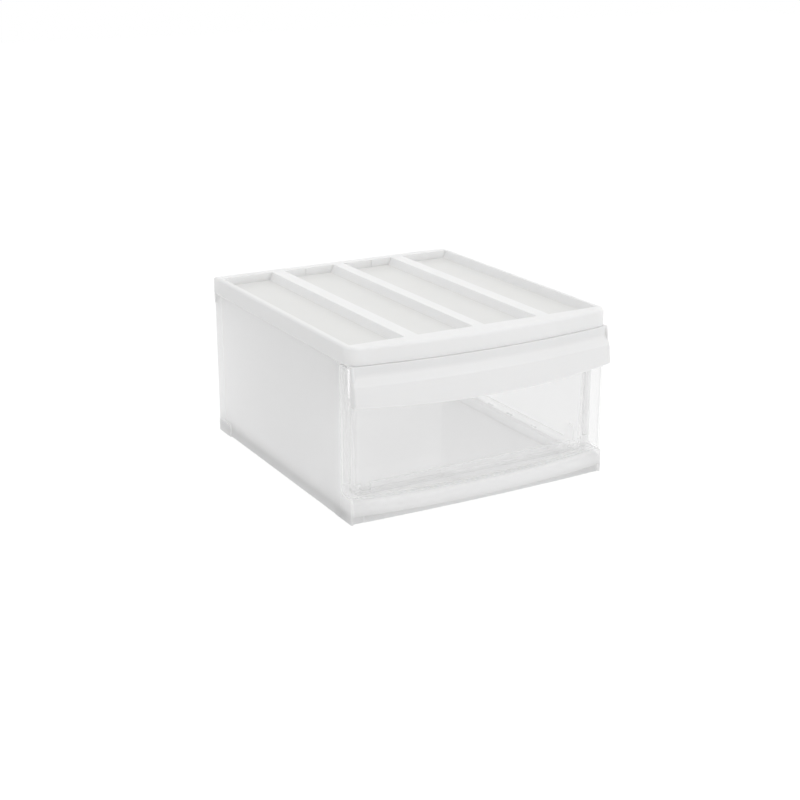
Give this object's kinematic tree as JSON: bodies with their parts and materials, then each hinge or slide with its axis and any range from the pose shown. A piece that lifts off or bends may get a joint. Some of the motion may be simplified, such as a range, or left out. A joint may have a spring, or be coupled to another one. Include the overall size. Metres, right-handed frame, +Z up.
{
  "type": "stackable drawer box",
  "caption": "Wide low storage box for stacking, with a ribbed white top cover, milky casing and one clear bowed-front drawer pulled by a full-width handle lip.",
  "frame": {"origin": "bottom centre of the whole object's box, on the ground it stands on", "axes": "+X to the right seen from the front, +Y to the back, +Z up; the drawer opens towards -Y"},
  "size_m": [0.34, 0.395, 0.203],
  "materials": {
    "white_plastic": "satin",
    "milky_plastic": "satin, translucent",
    "clear_plastic": "clear, glossy"
  },
  "bodies": {
    "casing": {"top_cover": "white_plastic", "left_side_wall": "milky_plastic", "right_side_wall": "milky_plastic", "back_wall": "milky_plastic", "base_tray": "milky_plastic", "front_left_foot": "milky_plastic", "front_right_foot": "milky_plastic", "rear_left_foot": "milky_plastic", "rear_right_foot": "milky_plastic"},
    "drawer": {"drawer_tray": "clear_plastic", "drawer_front": "clear_plastic", "drawer_handle": "white_plastic"}
  },
  "joints": [
    {"name": "drawer_slide", "type": "slide", "parent": "casing", "child": "drawer", "axis": [0, -1, 0], "range_m": [0, 0.3]}
  ]
}
